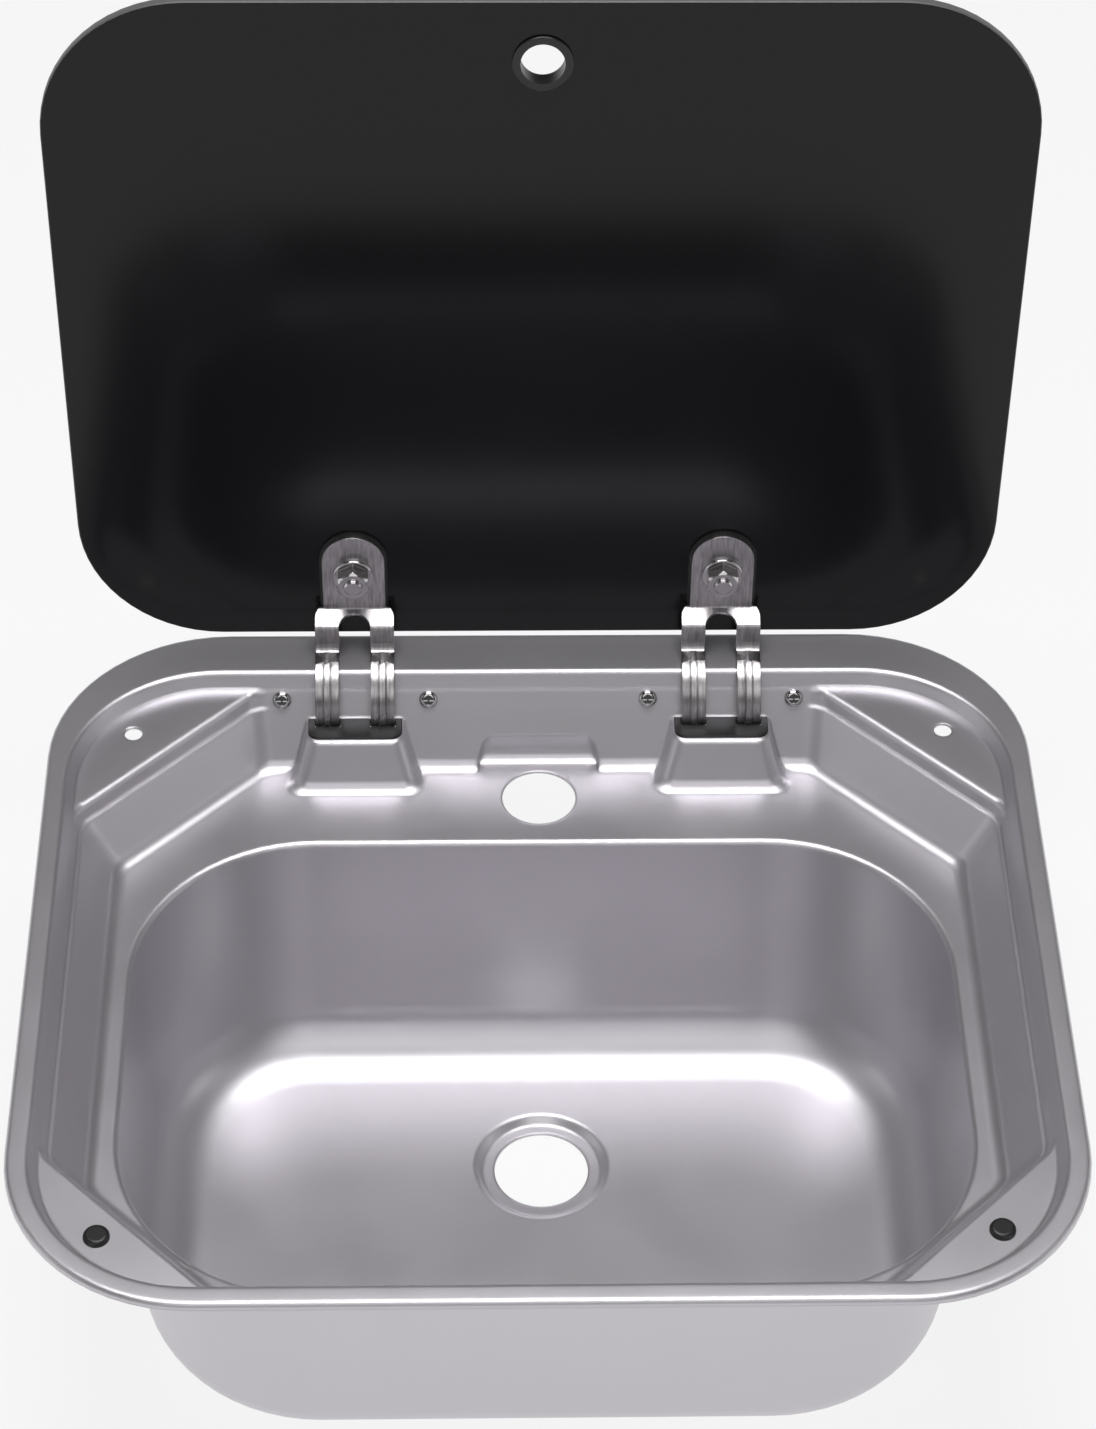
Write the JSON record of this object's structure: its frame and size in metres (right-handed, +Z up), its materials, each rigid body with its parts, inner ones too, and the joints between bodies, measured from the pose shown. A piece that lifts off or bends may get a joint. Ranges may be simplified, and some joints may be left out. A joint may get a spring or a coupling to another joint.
{
  "type": "rv sink with glass lid",
  "caption": "Drop-in stainless sink for a caravan with a rounded bowl, drain and tap holes, and a black glass lid that folds flush into the rim.",
  "frame": {"origin": "centre of the rim on the worktop's surface", "axes": "+X to the right along the width, +Y from the user towards the hinges, +Z up"},
  "size_m": [0.42, 0.3875, 0.46],
  "materials": {
    "satin_stainless": "satin",
    "bracket_stainless": "satin",
    "zinc_plated_steel": "dull",
    "bright_steel": "polished",
    "black_glass": "gloss",
    "black_rubber": "matte",
    "black_foam": "matte",
    "black_plastic": "gloss",
    "clear_nylon": "satin"
  },
  "bodies": {
    "sink": {"sink_pressing": "satin_stainless", "rim_seal": "black_foam", "front_bumper_left": "black_rubber", "front_bumper_right": "black_rubber", "slot_plate_left": "black_plastic", "slot_plate_right": "black_plastic", "hinge_housing_left": "zinc_plated_steel", "hinge_housing_right": "zinc_plated_steel", "hinge_pin_left": "bright_steel", "hinge_pin_right": "bright_steel", "retaining_rings_left": "bright_steel", "retaining_rings_right": "bright_steel", "stop_rod_left": "bright_steel", "stop_rod_right": "bright_steel", "housing_screws_left": "bright_steel", "housing_screws_right": "bright_steel", "housing_nuts_left": "bright_steel", "housing_nuts_right": "bright_steel"},
    "lid": {"glass_lid": "black_glass", "finger_grommet": "black_plastic", "hinge_bracket_left": "bracket_stainless", "hinge_bracket_right": "bracket_stainless", "bracket_pad_left": "black_rubber", "bracket_pad_right": "black_rubber", "lid_bolt_left": "bright_steel", "lid_bolt_right": "bright_steel", "bolt_washer_left": "clear_nylon", "bolt_washer_right": "clear_nylon", "flange_nut_left": "bright_steel", "flange_nut_right": "bright_steel"}
  },
  "joints": [
    {"name": "lid_hinge", "type": "hinge", "parent": "sink", "child": "lid", "pos_m": [0, 0.167, -0.0155], "axis": [1, 0, 0], "range_deg": [0, 92.8]}
  ]
}
